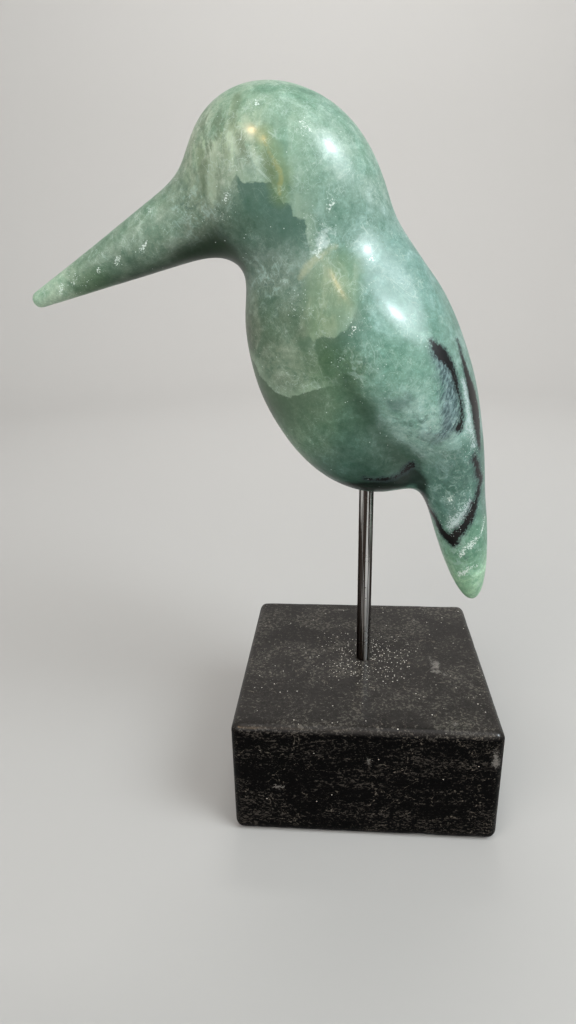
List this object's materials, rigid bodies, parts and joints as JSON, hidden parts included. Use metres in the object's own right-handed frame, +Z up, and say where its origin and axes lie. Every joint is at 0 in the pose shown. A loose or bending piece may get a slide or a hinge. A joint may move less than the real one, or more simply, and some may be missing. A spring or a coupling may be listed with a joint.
{
  "type": "shona bird sculpture",
  "caption": "Smooth carved green stone bird with a long beak, raised on a steel rod over a square dark stone plinth; stands on a table or shelf as an ornament.",
  "frame": {"origin": "middle of the plinth's underside, which is the face that the sculpture stands on", "axes": "+Z up along the rod, the beak points along -X, and the bird's left side faces -Y; the plane y = 0 is the bird's median plane"},
  "size_m": [0.1829, 0.105, 0.2775],
  "materials": {
    "green_stone": "polished pale milky green stone with cloudy mottling, white fibres and black inclusions",
    "steel": "satin stainless steel rod",
    "dark_stone": "honed brown-black stone with grey-brown flecks and paler eased edges"
  },
  "bodies": {
    "root": {"bird": "green_stone", "mounting_rod": "steel", "plinth": "dark_stone"}
  },
  "joints": []
}
